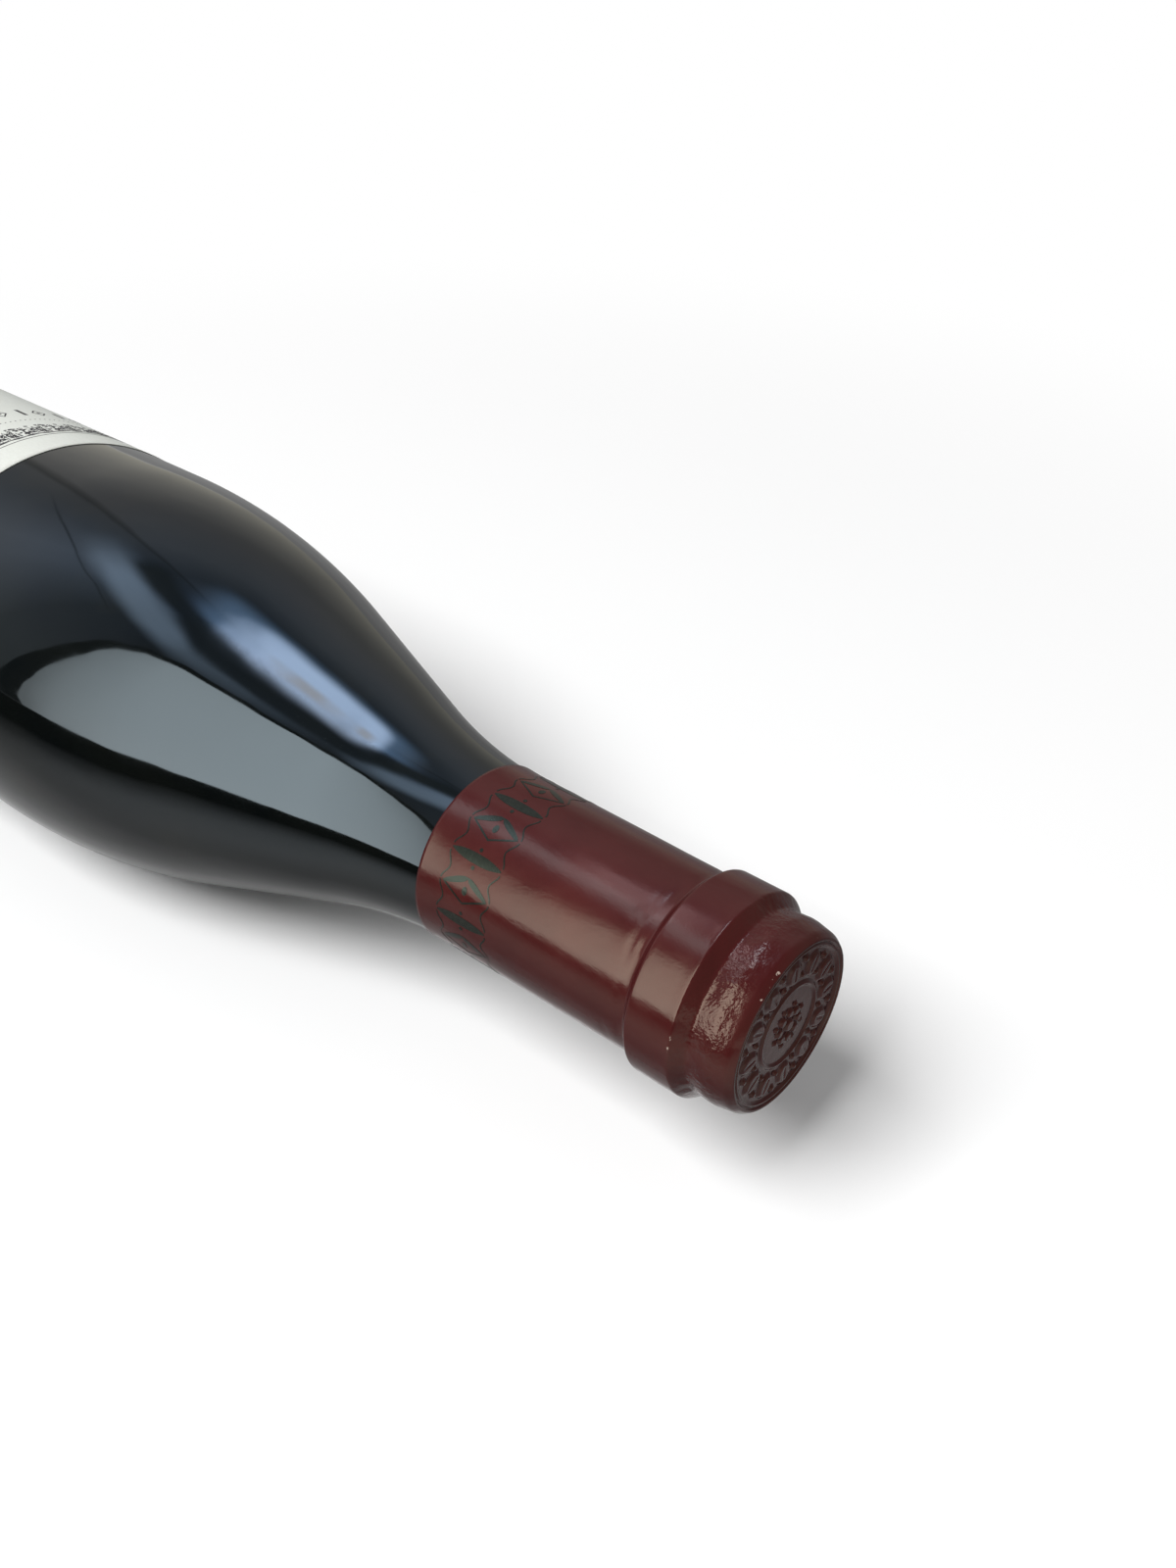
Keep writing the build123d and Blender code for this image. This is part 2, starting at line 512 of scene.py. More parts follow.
def stampedRelief(across, up):
    # Height of the stamp on the end of the capsule, mm: a border of petals and a rosette.
    radius, angle = math.hypot(across, up), math.atan2(up, across)
    pitch = 2 * math.pi / foil["petalCount"]
    local = (angle + pitch / 2) % pitch - pitch / 2
    side, along = radius * math.sin(local), radius * math.cos(local) - foil["petalRing"]
    petal = bumpShape(math.hypot(side / 1.55, along / 1.9) - 1.0, 0.45)
    groove = bumpShape(abs(side) - 0.12 + 0.1 * abs(along), 0.25) * (1 if along > -1.2 else 0)
    between = radius * math.sin((angle % pitch) - pitch / 2)
    dots = max(bumpShape(math.hypot(between, radius - 11.4) - 0.5, 0.3),
               bumpShape(math.hypot(between, radius - 8.7) - 0.4, 0.3))
    circle = bumpShape(abs(radius - 6.9) - 0.3, 0.35)
    heart = bumpShape(radius - 1.0, 0.4)
    for i in range(8):
        turn = i * math.pi / 4
        heart = max(heart, bumpShape(math.hypot(across - 2.4 * math.cos(turn),
                                                up - 2.4 * math.sin(turn)) - 0.72, 0.4))
        turn += math.pi / 8
        heart = max(heart, 0.8 * bumpShape(math.hypot(across - 3.5 * math.cos(turn),
                                                      up - 3.5 * math.sin(turn)) - 0.4, 0.3))
    return foil["reliefHeight"] * max(petal * (1 - 0.55 * groove), dots, 0.75 * circle, heart)


def makeFoil():
    cover, faceStation, faceRadius = foil["thickness"], foil["faceStation"], foil["faceRadius"]
    runStation, runRadius = foil["runOn"]
    inner = roundedOutline([(0.79, 0, 0), *mouth, bottle["neckCorner"], (runStation, runRadius, 0)], 5.0, 4)
    rim = [(faceStation, faceRadius, 0), (0.1, 12.95, 0.1), (0.1, 13.2, 0.1), (0.32, 13.45, 0.1),
           (0.0, 13.75, 0.12), (0.0, 14.1, 0.3), (1.0, 14.85, 2.0), (4.3, 15.48, 6.0)]
    neckStation, neckRadius, sweep = bottle["neckCorner"]
    skirt = [(7.5, 15.24, 1.0), (9.55, 17.1, 0.7), (17.45, 17.1, 0.5), (18.8, 15.52, 0.6),
             (neckStation, neckRadius + cover, sweep - cover), (runStation, runRadius + cover, 0)]
    face = roundedOutline([(faceStation, 0, 0), (faceStation, faceRadius, 0)], 0.2)
    outer = face[:-1] + roundedOutline([*rim, *skirt], 0.55, 5)

    def cut(path):
        kept = [spot for spot in path if spot.x < foil["length"]]
        last, over = kept[-1], path[len(kept)]
        share = (foil["length"] - last.x) / (over.x - last.x)
        return kept + [last.lerp(over, share)]

    inner, outer = cut(inner), cut(outer)
    made = turned("foilCapsule", inner + outer[::-1], foil["segments"], foilFinish)
    shapeFoil(made, inner)
    return made


def shapeFoil(made, inner):
    # Stamps the end and sinks the creases into the outside, never into the inner face.
    innerStations, innerRadii = [spot.x for spot in inner], [spot.y for spot in inner]
    creases = creaseList()
    for vertex in made.data.vertices:
        spot = vertex.co
        station = (mouthEnd - spot.x) / mm
        across, up = spot.y / mm, spot.z / mm - axisHeight
        radius = math.hypot(across, up)
        if abs(station - foil["faceStation"]) < 0.05 and radius < foil["faceRadius"] - 0.05:
            spot.x += stampedRelief(across, up) * mm
            continue
        wallMiddle = np.interp(station, innerStations, innerRadii) + foil["thickness"] / 2
        if station < 2.0 or radius < wallMiddle:
            continue
        angle = math.degrees(math.atan2(up, across)) % 360
        sink = 0.0
        for centre, turn, halfLength, halfWidth, depth, slant in creases:
            away = ((angle - turn + 180) % 360 - 180) * math.pi / 180 * radius
            if abs(away) > 2.5 * halfLength:
                continue
            over = station - centre - slant * away
            sink += depth * math.exp(-(away / halfLength) ** 2 - (over / halfWidth) ** 2)
        scale = (radius - min(sink, foil["deepestCrease"])) / radius
        spot.y *= scale
        spot.z = (up * scale + axisHeight) * mm
    made.data.update()


def creaseList():
    # (station, angle, half length, half width, depth, slant): folds left by spinning the foil on.
    rng = np.random.default_rng(7)
    creases = [(20.6, 108, 3.2, 0.5, 0.12, 0.05), (21.9, 104, 2.4, 0.5, 0.07, -0.06),
               (20.9, 128, 2.6, 0.5, 0.08, 0.04), (22.8, 116, 1.8, 0.5, 0.05, 0.1)]
    for _ in range(44):      # behind the ring
        creases.append((19.4 + rng.exponential(1.2), rng.uniform(0, 360), rng.uniform(1.0, 3.0),
                        rng.uniform(0.35, 0.55), rng.uniform(0.02, 0.09), rng.normal(0, 0.06)))
    for _ in range(60):      # on the step between lip and ring
        creases.append((rng.uniform(4.6, 8.6), rng.uniform(0, 360), rng.uniform(0.5, 1.4),
                        rng.uniform(0.3, 0.8), rng.uniform(0.03, 0.1), rng.normal(0, 0.5)))
    for _ in range(26):      # soft dents along the skirt
        creases.append((rng.uniform(24, 60), rng.uniform(0, 360), rng.uniform(1.5, 4.0),
                        rng.uniform(3.0, 8.0), rng.uniform(0.01, 0.045), 0.0))
    return creases


capsule = makeFoil()
print("foil capsule formed")


label = {
    "start": 179.4,
    "height": 94.0,
    "arc": 164.0,             # degrees round the body, centred on the top
    "thickness": 0.11,
    "lift": 0.002,            # its underside clears the glass by this much
    "arcSteps": 164,
    "runSteps": 60,
}


def makeLabel():
    vertices, faces = [], []
    columns, rows = label["arcSteps"] + 1, label["runSteps"] + 1
    for clearance in (label["thickness"], label["lift"]):
        radius = bottle["bodyRadius"] + clearance
        for row in range(rows):
            x = mouthEnd - (label["start"] + label["height"] * row / label["runSteps"]) * mm
            for column in range(columns):
                angle = math.radians(90 - label["arc"] / 2 + label["arc"] * column / label["arcSteps"])
                y, z = radius * math.cos(angle), axisHeight + radius * math.sin(angle)
                vertices.append((x, y * mm, z * mm))
    half = rows * columns
    for row in range(rows - 1):
        for column in range(columns - 1):
            a = row * columns + column
            faces.append((a, a + 1, a + columns + 1, a + columns))
            faces.append((half + a, half + a + columns, half + a + columns + 1, half + a + 1))
    broadFaces = len(faces)
    edge = ([column for column in range(columns)]
            + [row * columns + columns - 1 for row in range(1, rows)]
            + [(rows - 1) * columns + column for column in range(columns - 2, -1, -1)]
            + [row * columns for row in range(rows - 2, 0, -1)])
    for a, b in zip(edge, edge[1:] + edge[:1]):
        faces.append((a, b, b + half, a + half))
    made = meshObject("paperLabel", vertices, faces, paperFinish)
    for polygon in made.data.polygons:
        polygon.use_smooth = polygon.index < broadFaces
    return faceOutwards(made)


paper = makeLabel()
print("label wrapped")


def addRibbon(shape, path, halfWidths, height, closed=False, across=2):
    # Adds a closed bar of ink that follows a flat path; height is (bottom, top) from the surface.
    vertices, faces = shape
    count = len(path)
    halfWidths = halfWidths if hasattr(halfWidths, "__len__") else [halfWidths] * count
    first = len(vertices)
    for i, (spot, half) in enumerate(zip(path, halfWidths)):
        before = path[i - 1] if (closed or i) else path[i]
        after = path[(i + 1) % count] if (closed or i < count - 1) else path[i]
        along = (Vector(after) - Vector(before)).normalized()
        side = Vector((-along.y, along.x)) * half
        for z in height:
            for j in range(across + 1):
                place = Vector(spot) + side * (2 * j / across - 1)
                vertices.append((place.x * mm, place.y * mm, z * mm))
    wide = across + 1
    section = list(range(wide)) + list(range(2 * wide - 1, wide - 1, -1))
    for i in range(count if closed else count - 1):
        here, there = first + i * 2 * wide, first + ((i + 1) % count) * 2 * wide
        for a, b in zip(section, section[1:] + section[:1]):
            faces.append((here + a, here + b, there + b, there + a))
    if not closed:
        last = first + (count - 1) * 2 * wide
        for j in range(across):
            faces.append((first + j, first + wide + j, first + wide + j + 1, first + j + 1))
            faces.append((last + j, last + j + 1, last + wide + j + 1, last + wide + j))


def addBead(shape, spot, radius, height, squash=1.0, turn=0.0, sides=14):
    # Adds a closed round or oval dot of ink.
    vertices, faces = shape
    first = len(vertices)
    for z in height:
        vertices.append((spot[0] * mm, spot[1] * mm, z * mm))
        for i in range(sides):
            a = 2 * math.pi * i / sides
            x, y = radius * math.cos(a), radius * squash * math.sin(a)
            along = x * math.cos(turn) - y * math.sin(turn)
            across = x * math.sin(turn) + y * math.cos(turn)
            vertices.append(((spot[0] + along) * mm, (spot[1] + across) * mm, z * mm))
    low, high = first, first + sides + 1
    for i in range(sides):
        a, b = 1 + i, 1 + (i + 1) % sides
        faces.append((low, low + b, low + a))
        faces.append((high, high + a, high + b))
        faces.append((low + a, low + b, high + b, high + a))


def spread(start, stop, step):
    count = max(2, math.ceil(math.dist(start, stop) / step) + 1)
    return [tuple(Vector(start).lerp(Vector(stop), i / (count - 1))) for i in range(count)]


def loopRound(corners, step):
    outline = []
    for a, b in zip(corners, corners[1:] + corners[:1]):
        outline.extend(spread(a, b, step)[:-1])
    return outline


def printed(name, shape, surface, radius, count, pitch, first, ink):
    motif = meshObject(name + "Motif", *shape)
    target = meshObject(name, [(0, 0, 0)], [])
    applyTree(target, wrappedPrint, {
        "Motif": motif, "Surface": surface, "Count": count, "Pitch": pitch * mm, "First": first * mm,
        "Radius": radius * mm, "Axis Height": axisHeight * mm, "Mouth End": mouthEnd, "Material": ink})
    bpy.data.objects.remove(motif)
    return faceOutwards(target)


collar = {
    "stations": (46.3, 57.0),   # where the printed band starts and ends, from the capsule's end
    "radius": 15.5,
    "first": -1.6,              # how far round from the top the first bar stands
    "pairs": 9,                 # tapered bars and open diamonds follow each other round the neck
    "barWidth": 1.7,
    "hairline": 0.3,
    "broadStroke": 0.36,        # what the diamond's thick side adds to half its line
    "diamondHalf": 2.1,
    "dot": 0.34,
    "middleDot": 0.72,
    "swagLine": 0.12,
    "swagSteps": 12,
    "ink": (-0.06, 0.045),      # bottom and top of the ink from the surface, mm
}


def makeCollarPrint():
    near, far = (-station for station in collar["stations"])
    middle, reach = (near + far) / 2, (near - far) / 2
    pitch = 2 * math.pi * collar["radius"] / collar["pairs"]
    shape = ([], [])
    height = collar["ink"]
    bar = spread((far + 0.25, 0), (near - 0.25, 0), 0.7)
    widths = [collar["barWidth"] / 2 * max(0.06, 1 - (abs(x - middle) / reach) ** 2.6) for x, _ in bar]
    addRibbon(shape, bar, widths, height, across=4)
    for side in (-1, 1):
        addBead(shape, (middle, side * 1.5), collar["dot"], height)
    outline = loopRound([(near - 0.8, pitch / 2), (middle, pitch / 2 + collar["diamondHalf"]),
                         (far + 0.8, pitch / 2), (middle, pitch / 2 - collar["diamondHalf"])], 0.6)
    # the open diamond has a thick side and a thin side, as if drawn with a broad pen
    pens = []
    for x, y in outline:
        swell = math.sin(math.pi * min(1, abs(x - middle) / reach) ** 0.6)
        pens.append(collar["hairline"] / 2 + (collar["broadStroke"] if y > pitch / 2 else 0.0) * swell)
    addRibbon(shape, outline, pens, height, closed=True, across=2)
    addBead(shape, (middle, pitch / 2), collar["middleDot"], height, squash=0.7, turn=math.pi / 2)
    for end, way in ((near, -1), (far, 1)):
        swag = []
        for i in range(collar["swagSteps"] + 1):
            t = i / collar["swagSteps"]
            dip = 0.16 + 1.1 * math.sin(math.pi * t) ** 2
            swag.append((end + way * dip, 0.55 + (pitch / 2 - 0.75) * t))
        addRibbon(shape, swag, collar["swagLine"], height)
        addRibbon(shape, [(x, pitch - y) for x, y in swag], collar["swagLine"], height)
    return printed("collarPrint", shape, capsule, collar["radius"], collar["pairs"], pitch,
                   collar["first"], foilInk)


collarPrint = makeCollarPrint()
print("collar print laid on")


frieze = {
    "ink": (-0.02, 0.024),
    "margin": 8.5,           # plain paper before the print starts
    "pitch": 6.6,
    "count": 15,
    "seeds": (3, 11),        # two scraps of hedge overlap, so no repeat shows
    "leaves": 20,
    "stems": 9,
    "groundSteps": 8,
    "dots": 6,
}


def hedgeShapes(seed, length):
    # A scrap of engraved hedge: crowded leaves and stems, as wide as one repeat of the frieze.
    rng = np.random.default_rng(seed)
    shape = ([], [])
    height = frieze["ink"]
    for _ in range(frieze["leaves"]):
        y, tall = rng.uniform(0.2, length - 0.2), rng.uniform(0.6, 5.2)
        addBead(shape, (-tall, y), rng.uniform(0.22, 0.5), height, rng.uniform(0.45, 0.9),
                rng.uniform(0, 3.1), 9)
    for _ in range(frieze["stems"]):
        y, lean, tall = rng.uniform(0.3, length - 0.3), rng.uniform(-0.8, 0.8), rng.uniform(1.5, 5.4)
        stem = [(-tall * t / 4, y + lean * (t / 4) ** 2) for t in range(5)]
        addRibbon(shape, stem, [0.09, 0.09, 0.08, 0.07, 0.05], height)
    return shape


def friezePieces(name, edge, way):
    # A hedge on heavy ground with a thin rule outside it and a row of dots inside.
    height, pitch, steps = frieze["ink"], frieze["pitch"], frieze["groundSteps"]
    pieces = []
    for number, seed in enumerate(frieze["seeds"]):
        vertices, faces = hedgeShapes(seed + 20 * (way > 0), pitch)
        foot = -(edge + way * 1.9) * mm
        shape = ([(foot + way * x, y, z) for x, y, z in vertices], faces)
        if number == 0:
            ground, pens = [], []
            for i in range(steps + 1):
                ground.append((-(edge + way * (1.35 + 0.12 * math.sin(2 * math.pi * i / steps))),
                               pitch * i / steps))
                pens.append(0.26 + 0.1 * math.sin(4 * math.pi * i / steps))
            addRibbon(shape, ground, pens, height)
            addRibbon(shape, [(-edge, pitch * i / steps) for i in range(steps + 1)], 0.11, height)
            for dot in range(frieze["dots"]):
                spot = (-(edge + way * 11.2), pitch * (dot + 0.5) / frieze["dots"])
                addBead(shape, spot, 0.17, height, sides=8)
        first = -pitch * frieze["count"] / 2 + 1.7 * number
        pieces.append(printed(f"{name}Frieze{number}", shape, paper, bottle["bodyRadius"],
                              frieze["count"], pitch, first, labelInk))
    return pieces


emblem = {
    "below": 4.0,                           # how far its middle is past the label's
    "rings": ((12.0, 0.22), (10.8, 0.1)),   # radius and pen of each
    "ringSteps": 64,
    "rows": (4, 3, 4, 3, 2, 1),             # berries in each row of the bunch
    "rowPitch": 2.2,
    "berryPitch": 2.5,
    "berry": 1.0,
    "leaf": 2.2,
}


def diamondBand():
    station = label["start"] + frieze["margin"] + 17.0
    height = frieze["ink"]
    shape = ([], [])
    addRibbon(shape, spread((-station + 2.2, 2.2), (-station - 2.2, 2.2), 0.8), 0.42, height)
    outline = loopRound([(-station + 2.0, 6.2), (-station, 7.6), (-station - 2.0, 6.2),
                         (-station, 4.8)], 0.8)
    addRibbon(shape, outline, 0.17, height, closed=True)
    addBead(shape, (-station, 6.2), 0.4, height)
    return printed("diamondBand", shape, paper, bottle["bodyRadius"], 8, 8.8, -35.5, labelInk)


def grapeEmblem():
    # A plain bunch of grapes with two leaves, in a double ring.
    height = frieze["ink"]
    shape = ([], [])
    middle = -(label["start"] + label["height"] / 2 + emblem["below"])
    for radius, pen in emblem["rings"]:
        turns = [2 * math.pi * i / emblem["ringSteps"] for i in range(emblem["ringSteps"])]
        ring = [(middle + radius * math.cos(turn), radius * math.sin(turn)) for turn in turns]
        addRibbon(shape, ring, pen, height, closed=True)
    for row, berries in enumerate(emblem["rows"]):
        for i in range(berries):
            spot = (middle + 3.2 - emblem["rowPitch"] * row, (i - (berries - 1) / 2) * emblem["berryPitch"])
            addBead(shape, spot, emblem["berry"], height)
    addRibbon(shape, [(middle + 4.6, 0.0), (middle + 6.4, 0.3), (middle + 8.2, 1.2)], 0.22, height)
    for side in (-1, 1):
        addBead(shape, (middle + 6.0, side * 2.6), emblem["leaf"], height, squash=0.55, turn=side * 1.1)
    return printed("grapeEmblem", shape, paper, bottle["bodyRadius"], 1, 1.0, 0.0, labelInk)


def makeLabelPrint():
    # Framed by two friezes, with a plain emblem between: nothing on it is lettering.
    top = label["start"] + frieze["margin"]
    foot = label["start"] + label["height"] - frieze["margin"]
    pieces = [*friezePieces("upper", top, 1), *friezePieces("lower", foot, -1)]
    return joined("labelPrint", [*pieces, diamondBand(), grapeEmblem()])


labelPrint = makeLabelPrint()
print("label printed")


knurl = {
    "inner": 28.6,
    "outer": 32.6,
    "bevel": 0.35,
    "width": 0.9,
    "flat": 0.45,   # share of the width that is flat on top
    "sunk": 0.4,
}


def makeKnurls():
    # Small pressed bars round the base that the standing bottle rests on.
    base = bottle["length"] - bottle["knurlHeight"]
    inner, outer, bevel = knurl["inner"], knurl["outer"], knurl["bevel"]
    vertices, faces = [], []
    for raised in (True, False):
        for radius in (inner, inner + bevel, outer - bevel, outer):
            for share in (-1, -knurl["flat"], knurl["flat"], 1):
                lift = 0.0 if raised else -knurl["sunk"]
                if raised and inner < radius < outer:
                    lift = bottle["knurlHeight"] * (1 if abs(share) < 1 else 0.15)
                vertices.append((-lift * mm, share * knurl["width"] / 2 * mm, radius * mm))
    for i in range(3):
        for j in range(3):
            a = i * 4 + j
            faces.append((a, a + 1, a + 5, a + 4))
            faces.append((16 + a, 16 + a + 4, 16 + a + 5, 16 + a + 1))
    rim = [0, 1, 2, 3, 7, 11, 15, 14, 13, 12, 8, 4]
    for a, b in zip(rim, rim[1:] + rim[:1]):
        faces.append((a, 16 + a, 16 + b, b))
    bar = meshObject("knurlBar", vertices, faces)
    made = meshObject("baseKnurls", [(0, 0, 0)], [])
    applyTree(made, ringOfCopies, {
        "Piece": bar, "Count": bottle["knurlCount"], "Axis Height": axisHeight * mm,
        "X": mouthEnd - base * mm, "Material": glassFinish})
    bpy.data.objects.remove(bar)
    return faceOutwards(made)


knurls = makeKnurls()
print("base knurls set")


camera = {
    "azimuth": 40.47,
    "elevation": 36.09,
    "distance": 0.25138,
    "lens": 32.11,
    "aim": (-0.06115, 0.02632),   # the point looked at, from the middle of the capsule's end
}


def direction(facts):
    # The way to something seen at this azimuth, counted from X, and this elevation.
    azimuth, elevation = math.radians(facts["azimuth"]), math.radians(facts["elevation"])
    level = math.cos(elevation)
    return Vector((math.cos(azimuth) * level, math.sin(azimuth) * level, math.sin(elevation)))


def placed(name, data, target, towards, distance):
    made = bpy.data.objects.new(name, data)
    made.location = target + towards * distance
    made.rotation_mode = "QUATERNION"
    made.rotation_quaternion = (-towards).to_track_quat("-Z", "Y")
    bpy.context.scene.collection.objects.link(made)
    return made


def makeCamera():
    aim = Vector((mouthEnd + camera["aim"][0], camera["aim"][1], axisHeight * mm))
    towards = direction(camera)
    back = Vector((towards.y, -towards.x, towards.z))   # the camera's azimuth is counted from -Y
    data = bpy.data.cameras.new("camera")
    data.lens = camera["lens"]
    data.sensor_width = 36
    data.clip_start = 0.01
    bpy.context.scene.camera = placed("camera", data, aim, back, camera["distance"])


# Glow is the brightness of a lamp's face, where 1 reads as white; the softbox brightens to the right.
studio = {
    "softbox": {"distance": 0.75, "glow": 5.4,
                "gain": [(0.08, 0.30), (0.2, 0.58), (0.4, 0.92), (0.7, 1.24)],
                "outline": [(-0.53, -0.01), (-0.555, 0.05), (-0.545, 0.14), (-0.47, 0.42), (-0.39, 0.86),
                            (-0.32, 1.03), (-0.20, 1.14), (0.10, 1.18), (0.14, 1.1), (0.14, -0.01)]},
    "frame": {"distance": 0.77, "outline": [
        (-0.66, -0.01), (-0.69, 0.10), (-0.56, 0.50), (-0.48, 0.92), (-0.36, 1.16), (-0.22, 1.28),
        (0.2, 1.32), (0.24, -0.01)]},
    "keyLamp": {"azimuth": 265, "elevation": 56, "distance": 2.0, "size": (1.0, 0.95), "level": 0.95,
                "target": (0.03, 0, 0)},
    "topLamp": {"path": [(-0.30, 0.80), (-0.23, 0.10), (-0.17, -0.62)], "height": 2.0, "width": 0.36,
                "solid": (0.45, 0.4), "glow": (6.2, 7.0, 8.7)},
    "topHalo": {"path": [(-0.36, 0.95), (-0.27, 0.25), (-0.22, -0.42)], "height": 1.99, "width": 0.9,
                "solid": (0.3, 0.1), "glow": (1.1, 1.8, 2.8)},
    "nearLamp": {"path": [(0.091, 0.018), (0.091, -0.003), (0.091, -0.023)], "height": 0.12, "width": 0.04,
                 "solid": (0.4, 0.45), "glow": (2.2, 1.9, 2.4)},
    "stripLamp": {"path": [(-1.75, 0.35), (-1.42, 0.05), (-1.20, -0.16), (-1.00, -0.35), (-0.80, -0.56),
                           (-0.62, -0.73), (-0.42, -0.88), (-0.20, -1.03), (0.05, -1.12)],
                  "height": 1.98, "width": 0.8, "solid": (0.3, 0.15), "glow": (1.7, 2.1, 2.6)},
    "valleyCloth": {"path": [(-1.15, 0.30), (-0.98, 0.14), (-0.82, 0.0), (-0.66, -0.12), (-0.48, -0.22),
                             (-0.36, -0.40), (-0.28, -0.57), (-0.19, -0.74), (-0.08, -0.80), (0.10, -0.85)],
                    "height": 1.95, "width": 0.5, "solid": (0.75, 0.25), "cover": 0.95,
                    "glow": (0.1, 0.13, 0.17)},
    "warmPatch": {"path": [(-0.24, 0.22), (-0.21, 0.0), (-0.19, -0.22)], "height": 1.96, "width": 0.17,
                  "solid": (0.2, 0.2), "cover": 0.75, "glow": (6.4, 5.65, 5.2)},
    "hangingCable": {"path": [(-0.251, 0.064), (-0.197, 0.023), (-0.156, -0.007), (-0.126, -0.033),
                              (-0.107, -0.054), (-0.090, -0.069), (-0.074, -0.088), (-0.058, -0.116)],
                     "height": 0.22, "width": 0.0045, "solid": (0.6, 0.3), "cover": 0.6,
                     "glow": (0.1, 0.13, 0.17)},
    # (degrees round the room, level, blueness)
    "wall": [(0, 0.25, 0), (60, 0.4, 0), (95, 1.0, 0), (125, 0.95, 0), (148, 1.12, 0), (156.8, 1.12, 0),
             (158.3, 0.4, 0), (160, 0.88, 0.3), (165, 0.9, 0.6), (172, 1.0, 1), (180, 1.3, 1),
             (190, 1.65, 1), (198, 1.5, 1), (206, 1.15, 1), (214, 0.8, 1), (221, 0.5, 1),
             (234, 0.45, 1), (245, 0.3, 0), (300, 0.3, 0), (359, 0.25, 0)],
    "roomRadius": 3.0,
    "wallGlow": 2.0,
    "fill": 0.33,
    "floorReach": (0.13, 0.45),   # the floor passes into plain white between these distances
}


def showing(tree, shader):
    tree.links.new(shader.outputs[0], tree.nodes["Material Output"].inputs["Surface"])


def glowMaterial(name, glow):
    # The strength is the strongest of the glow's three parts; the colour holds their balance.
    material = bpy.data.materials.new(name)
    material.use_nodes = True
    tree = material.node_tree
    tree.nodes.remove(tree.nodes["Principled BSDF"])
    peak = max(glow) or 1.0
    shine = addNode(tree, "ShaderNodeEmission", {"Color": (*(c / peak for c in glow), 1), "Strength": peak})
    showing(tree, shine)
    return material, tree, shine


def hideFromView(made):
    # Cards show only in reflections: the key lamp and the world light everything else.
    made.visible_camera = False
    made.visible_shadow = False
    made.visible_diffuse = False


def makeSoftbox():
    facts = studio["softbox"]
    material, tree, shine = glowMaterial("softboxGlow", (0.94, 1.0, 1.0))
    across = partsOf(tree, objectSpot(tree))[0]
    gain = ramp(tree, calc(tree, "ADD", across, 0.6), facts["gain"])
    tree.links.new(product(tree, gain, facts["glow"]), shine.inputs["Strength"])
    hideFromView(uprightCard("softbox", facts, material))
    dark = glowMaterial("softboxFrame", (0.03, 0.035, 0.04))[0]
    hideFromView(uprightCard("softboxFrame", studio["frame"], dark))


def uprightCard(name, facts, material):
    corners = [(x, -facts["distance"], z) for x, z in facts["outline"]]
    return meshObject(name, corners, [tuple(range(len(corners)))], material)


def makeKeyLamp():
    facts = studio["keyLamp"]
    towards = direction(facts)
    data = bpy.data.lights.new("keyLamp", "AREA")
    data.shape = "RECTANGLE"
    data.size, data.size_y = facts["size"]
    # level is the share of full white that this lamp alone gives a white floor
    data.energy = facts["level"] * (math.pi * facts["distance"]) ** 2 / towards.z
    made = placed("keyLamp", data, Vector(facts["target"]), towards, facts["distance"])
    made.visible_glossy = False
    made.visible_camera = False


def fadeToEdges(tree, solid):
    # 1 over the middle of a card, 0 at its edges; solid is the even share of its length and width.
    parts = partsOf(tree, result(tree, "ShaderNodeUVMap", uv_map="face"))
    fades = []
    for axis, share in enumerate(solid):
        edge = calc(tree, "ABSOLUTE", calc(tree, "MULTIPLY_ADD", parts[axis], 2.0, -1.0))
        fades.append(remap(tree, edge, share, 1.0, 1.0, 0.0, smooth=True))
    return product(tree, *fades)


def clearOutput(tree):
    return result(tree, "ShaderNodeBsdfTransparent")


def makeGlowCard(name):
    # A lamp face along a path overhead that fades towards its edges; seen only in reflections.
    facts = studio[name]
    material, tree, shine = glowMaterial(name + "Glow", facts["glow"])
    fade = product(tree, fadeToEdges(tree, facts["solid"]), max(facts["glow"]))
    tree.links.new(fade, shine.inputs["Strength"])
    showing(tree, addNode(tree, "ShaderNodeAddShader", {0: shine.outputs[0], 1: clearOutput(tree)}))
    hideFromView(stripCard(name, facts, material))


def veil(tree, cover, cloth):
    # Cloth that hides a share of what is behind it.
    layers = {0: cover, 1: clearOutput(tree), 2: cloth.outputs[0]}
    showing(tree, addNode(tree, "ShaderNodeMixShader", layers))


def makeShadeCard(name):
    # A thing hanging in front of the lamps, which the gloss mirrors as a soft line or patch.
    facts = studio[name]
    material, tree, cloth = glowMaterial(name + "Face", facts["glow"])
    veil(tree, product(tree, fadeToEdges(tree, facts["solid"]), facts["cover"]), cloth)
    hideFromView(stripCard(name, facts, material))


def stripCard(name, facts, material):
    # A level band along a path, with UV running along it and across it.
    path, vertices = [Vector(spot) for spot in facts["path"]], []
    last = len(path) - 1
    for i, spot in enumerate(path):
        along = (path[min(i + 1, last)] - path[max(i - 1, 0)]).normalized()
        side = Vector((-along.y, along.x)) * facts["width"] / 2
        vertices.extend((*place, facts["height"]) for place in (spot - side, spot + side))
    faces = [(2 * i, 2 * i + 1, 2 * i + 3, 2 * i + 2) for i in range(last)]
    card = meshObject(name, vertices, faces, material)
    face = card.data.uv_layers.new(name="face")
    for loop in card.data.loops:
        face.data[loop.index].uv = (loop.vertex_index // 2 / last, loop.vertex_index % 2)
    return card


def whiteForSeeing(tree):
    path = addNode(tree, "ShaderNodeLightPath")
    seen = calc(tree, "MAXIMUM", path.outputs["Is Camera Ray"], path.outputs["Is Glossy Ray"])
    return calc(tree, "MAXIMUM", seen, path.outputs["Is Transmission Ray"])


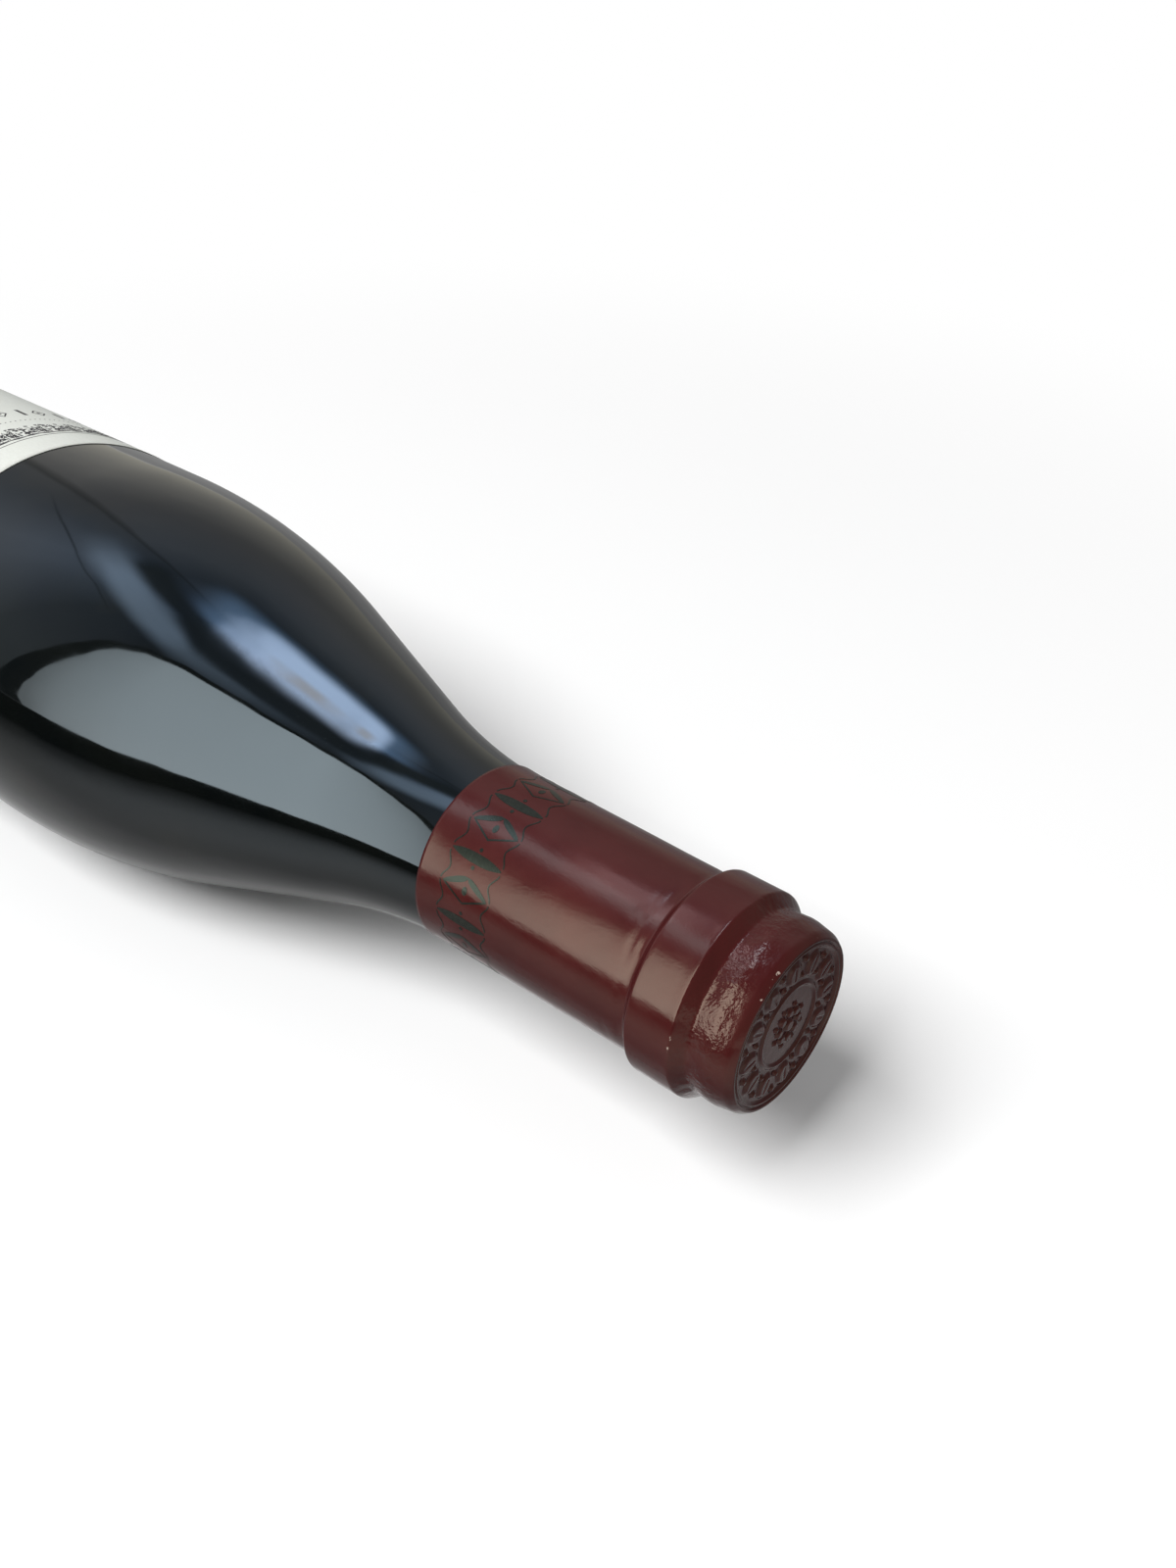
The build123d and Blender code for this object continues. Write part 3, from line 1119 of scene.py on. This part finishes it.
def makeWorld():
    world = bpy.data.worlds.new("studioWorld")
    bpy.context.scene.world = world
    world.use_nodes = True
    tree = world.node_tree
    ground = tree.nodes["Background"]
    ground.inputs["Strength"].default_value = 1.0
    fill = studio["fill"]
    colour = mixed(tree, whiteForSeeing(tree), (fill, fill, fill, 1), (1, 1, 1, 1))
    tree.links.new(colour, ground.inputs["Color"])


def levelSheet(name, low, high, height, material):
    corners = [(low[0], low[1], height), (high[0], low[1], height), (high[0], high[1], height),
               (low[0], high[1], height)]
    return meshObject(name, corners, [(0, 1, 2, 3)], material)


def makeFloor():
    # Matt near the bottle, where it takes the shadow, and plain white further off.
    material, tree, shader = newMaterial("paleFloor", (0, 0, 0), 0.9, **{"Specular IOR Level": 0.1})
    place = addNode(tree, "ShaderNodeTexCoord").outputs["Object"]
    far = remap(tree, lengthOf(tree, place), *studio["floorReach"], smooth=True)
    white = addNode(tree, "ShaderNodeEmission", {"Color": (1, 1, 1, 1), "Strength": 1.0})
    seen = whiteForSeeing(tree)
    shade = remap(tree, seen, 0.0, 1.0, 0.35, 0.9)
    grey = result(tree, "ShaderNodeCombineColor", {0: shade, 1: shade, 2: shade})
    tree.links.new(grey, shader.inputs["Base Color"])
    showing(tree, addNode(tree, "ShaderNodeMixShader", {
        0: product(tree, far, seen), 1: shader.outputs[0], 2: white.outputs[0]}))
    levelSheet("floor", (-4, -4), (4, 4), 0, material)


def makeFloorCloths():
    # Black cloth in front, thinning towards the bottle, and thin cloth behind it and past its mouth,
    # so the glass has dark to mirror.
    material, tree, shine = glowMaterial("blackCloth", (0, 0, 0))
    near = partsOf(tree, objectSpot(tree))[1]
    veil(tree, ramp(tree, calc(tree, "ADD", near, 0.3), [
        (0.10, 1.0), (0.15, 0.8), (0.20, 0.42), (0.235, 0.32), (0.275, 0.38)]), shine)
    hideFromView(levelSheet("frontCloth", (-0.75, -0.74), (0.35, -0.005), 0.0005, material))
    material, tree, shine = glowMaterial("thinBlackCloth", (0, 0, 0))
    along, across, _ = partsOf(tree, objectSpot(tree))
    behind = ramp(tree, across, [(0.02, 0.0), (0.06, 0.7), (0.15, 0.66), (0.3, 0.54), (0.8, 0.46)])
    beyond = remap(tree, along, 0.150, 0.19, 0.0, 0.45)
    veil(tree, calc(tree, "MAXIMUM", behind, beyond), shine)
    hideFromView(levelSheet("backCloth", (-1.6, -0.004), (1.4, 2.5), 0.0006, material))


def makeStudioShell():
    # The room as the glass mirrors it: a pale wall behind, a corner, and dim towards the left.
    material, tree, shine = glowMaterial("greyStudioWall", (studio["wallGlow"],) * 3)
    material.cycles.emission_sampling = "NONE"
    x, y, z = partsOf(tree, objectSpot(tree))
    colour = ramp(tree, calc(tree, "DIVIDE", z, studio["roomRadius"]), [
        (0.0, (0.80, 0.77, 0.66)), (0.35, (0.82, 0.80, 0.76)), (0.6, (0.66, 0.66, 0.70)),
        (0.80, (0.48, 0.52, 0.60)), (0.90, (0.22, 0.27, 0.36)), (1.0, (0.4, 0.5, 0.7))])
    around = calc(tree, "DIVIDE", calc(tree, "ARCTAN2", y, x), 2 * math.pi)
    stops = []
    for degrees, value, blue in studio["wall"]:
        half = value / 2
        stops.append((degrees / 360, (half * (1 - 0.10 * blue), half, half * (1 + 0.12 * blue))))
    level = ramp(tree, calc(tree, "FRACT", calc(tree, "ADD", around, 1.0)), stops)
    tree.links.new(mixed(tree, 1.0, colour, level, "MULTIPLY"), shine.inputs["Color"])
    shell = meshObject("studioShell", [], [], material)
    work = bmesh.new()
    bmesh.ops.create_uvsphere(work, u_segments=64, v_segments=32, radius=studio["roomRadius"])
    bmesh.ops.delete(work, geom=[v for v in work.verts if v.co.z < -0.01], context="VERTS")
    work.to_mesh(shell.data)
    work.free()
    hideFromView(shell)


makeCamera()
makeSoftbox()
makeKeyLamp()
for card in ("topLamp", "topHalo", "nearLamp", "stripLamp"):
    makeGlowCard(card)
for card in ("warmPatch", "valleyCloth", "hangingCable"):
    makeShadeCard(card)
makeWorld()
makeFloor()
makeStudioShell()
makeFloorCloths()
bpy.context.scene.view_settings.view_transform = "Standard"
print("studio lit")


for pieces, node, slot in (((glass, knurls), "glass_bottle", "dark_glass"),
                           ((capsule, collarPrint), "foil_capsule", "oxblood_foil"),
                           ((paper, labelPrint), "paper_label", "label_paper")):
    for piece in pieces:
        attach(piece, "root")
        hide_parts(node)
